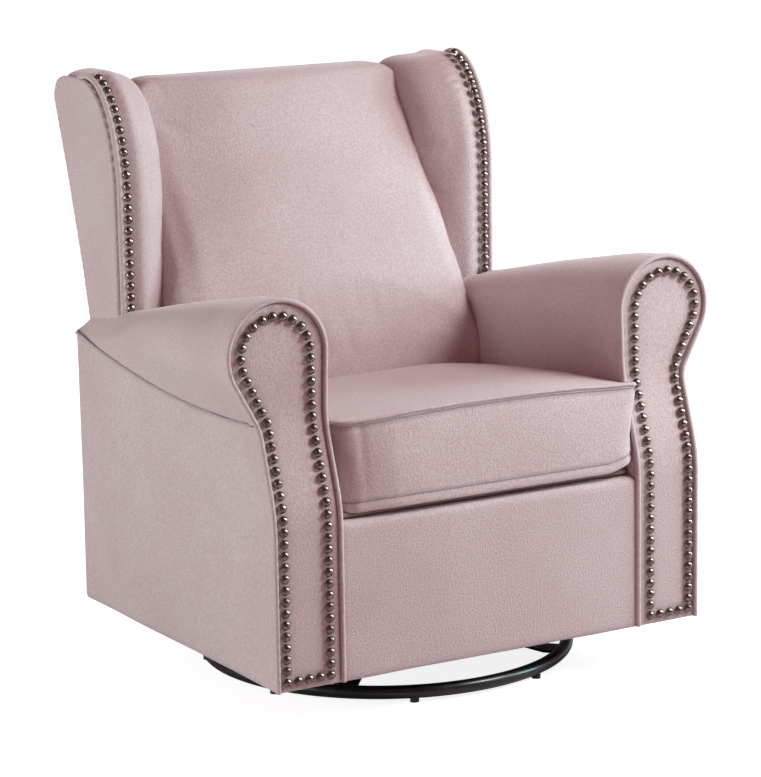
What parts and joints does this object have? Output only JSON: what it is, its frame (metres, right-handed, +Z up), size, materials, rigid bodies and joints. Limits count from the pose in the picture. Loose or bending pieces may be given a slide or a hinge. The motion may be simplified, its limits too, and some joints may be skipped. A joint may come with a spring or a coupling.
{
  "type": "wingback swivel glider chair",
  "caption": "Upholstered wingback armchair with scrolled nail-trimmed arms that glides on hanging links and swivels on a round steel ring base.",
  "frame": {"origin": "on the floor under the middle of the chair's outline", "axes": "+Z up, the chair faces -Y, +X to the viewer's right when looking at its front"},
  "size_m": [0.8506, 0.7635, 0.9244],
  "materials": {
    "blush_fabric": "soft brushed",
    "deck_cloth": "matt",
    "webbing": "matt",
    "black_steel": "gloss",
    "mechanism_steel": "plated",
    "nail_bronze": "antique",
    "frame_wood": "sawn",
    "glide_plastic": "matt"
  },
  "bodies": {
    "base": {"base_ring": "black_steel", "floor_glides": "glide_plastic", "base_spokes": "black_steel", "lower_race": "mechanism_steel", "bearing_balls": "mechanism_steel", "kingpin": "mechanism_steel", "kingpin_nut": "mechanism_steel"},
    "turning_stand": {"upper_race": "mechanism_steel", "turntable": "mechanism_steel", "glider_stand_left": "mechanism_steel", "glider_stand_right": "mechanism_steel", "stand_tie_bars": "mechanism_steel", "upper_pivot_pins": "mechanism_steel"},
    "link_front_left": {"swing_link_front_left": "mechanism_steel"},
    "link_front_right": {"swing_link_front_right": "mechanism_steel"},
    "link_rear_left": {"swing_link_rear_left": "mechanism_steel"},
    "link_rear_right": {"swing_link_rear_right": "mechanism_steel"},
    "chair": {"carriage_rail_left": "mechanism_steel", "carriage_rail_right": "mechanism_steel", "lower_pivot_pins": "mechanism_steel", "cross_tubes": "mechanism_steel", "frame_bolts": "mechanism_steel", "seat_front_rail": "frame_wood", "seat_rear_rail": "frame_wood", "seat_side_rail_left": "frame_wood", "seat_side_rail_right": "frame_wood", "corner_blocks": "frame_wood", "seat_webbing": "webbing", "webbing_clips": "mechanism_steel", "seat_deck": "deck_cloth", "seat_cushion": "blush_fabric", "front_apron": "blush_fabric", "rear_panel": "blush_fabric", "back_post_left": "frame_wood", "back_post_right": "frame_wood", "back_top_rail": "frame_wood", "back_bottom_rail": "frame_wood", "back_straps": "webbing", "outside_back": "blush_fabric", "back_cushion": "blush_fabric", "wing_panel_left": "blush_fabric", "wing_panel_right": "blush_fabric", "wing_pad_left": "blush_fabric", "wing_pad_right": "blush_fabric", "wing_welts": "blush_fabric", "wing_nails": "nail_bronze", "arm_facing_left": "blush_fabric", "arm_facing_right": "blush_fabric", "facing_welts": "blush_fabric", "facing_nails": "nail_bronze", "side_panel_left": "blush_fabric", "side_panel_right": "blush_fabric", "arm_scroll_left": "blush_fabric", "arm_scroll_right": "blush_fabric", "inner_arm_left": "blush_fabric", "inner_arm_right": "blush_fabric", "arm_posts": "frame_wood", "arm_rails": "frame_wood"}
  },
  "joints": [
    {"name": "swivel", "type": "hinge", "parent": "base", "child": "turning_stand", "pos_m": [0, -0.05093, 0.06], "axis": [0, 0, 1], "continuous": true},
    {"name": "glide", "type": "hinge", "parent": "turning_stand", "child": "link_front_left", "pos_m": [-0.186, -0.20093, 0.235], "axis": [1, 0, 0], "range_deg": [-24, 24]},
    {"name": "chair_hang", "type": "hinge", "parent": "link_front_left", "child": "chair", "pos_m": [-0.186, -0.20093, 0.11], "axis": [1, 0, 0], "range_deg": [-24, 24]},
    {"name": "swing_front_right", "type": "hinge", "parent": "turning_stand", "child": "link_front_right", "pos_m": [0.186, -0.20093, 0.235], "axis": [1, 0, 0], "range_deg": [-24, 24]},
    {"name": "swing_rear_left", "type": "hinge", "parent": "turning_stand", "child": "link_rear_left", "pos_m": [-0.186, 0.09907, 0.235], "axis": [1, 0, 0], "range_deg": [-24, 24]},
    {"name": "swing_rear_right", "type": "hinge", "parent": "turning_stand", "child": "link_rear_right", "pos_m": [0.186, 0.09907, 0.235], "axis": [1, 0, 0], "range_deg": [-24, 24]}
  ],
  "couplings": [
    {"joint": "chair_hang", "follows": "glide", "ratio": -1},
    {"joint": "swing_front_right", "follows": "glide", "ratio": 1},
    {"joint": "swing_rear_left", "follows": "glide", "ratio": 1},
    {"joint": "swing_rear_right", "follows": "glide", "ratio": 1}
  ]
}
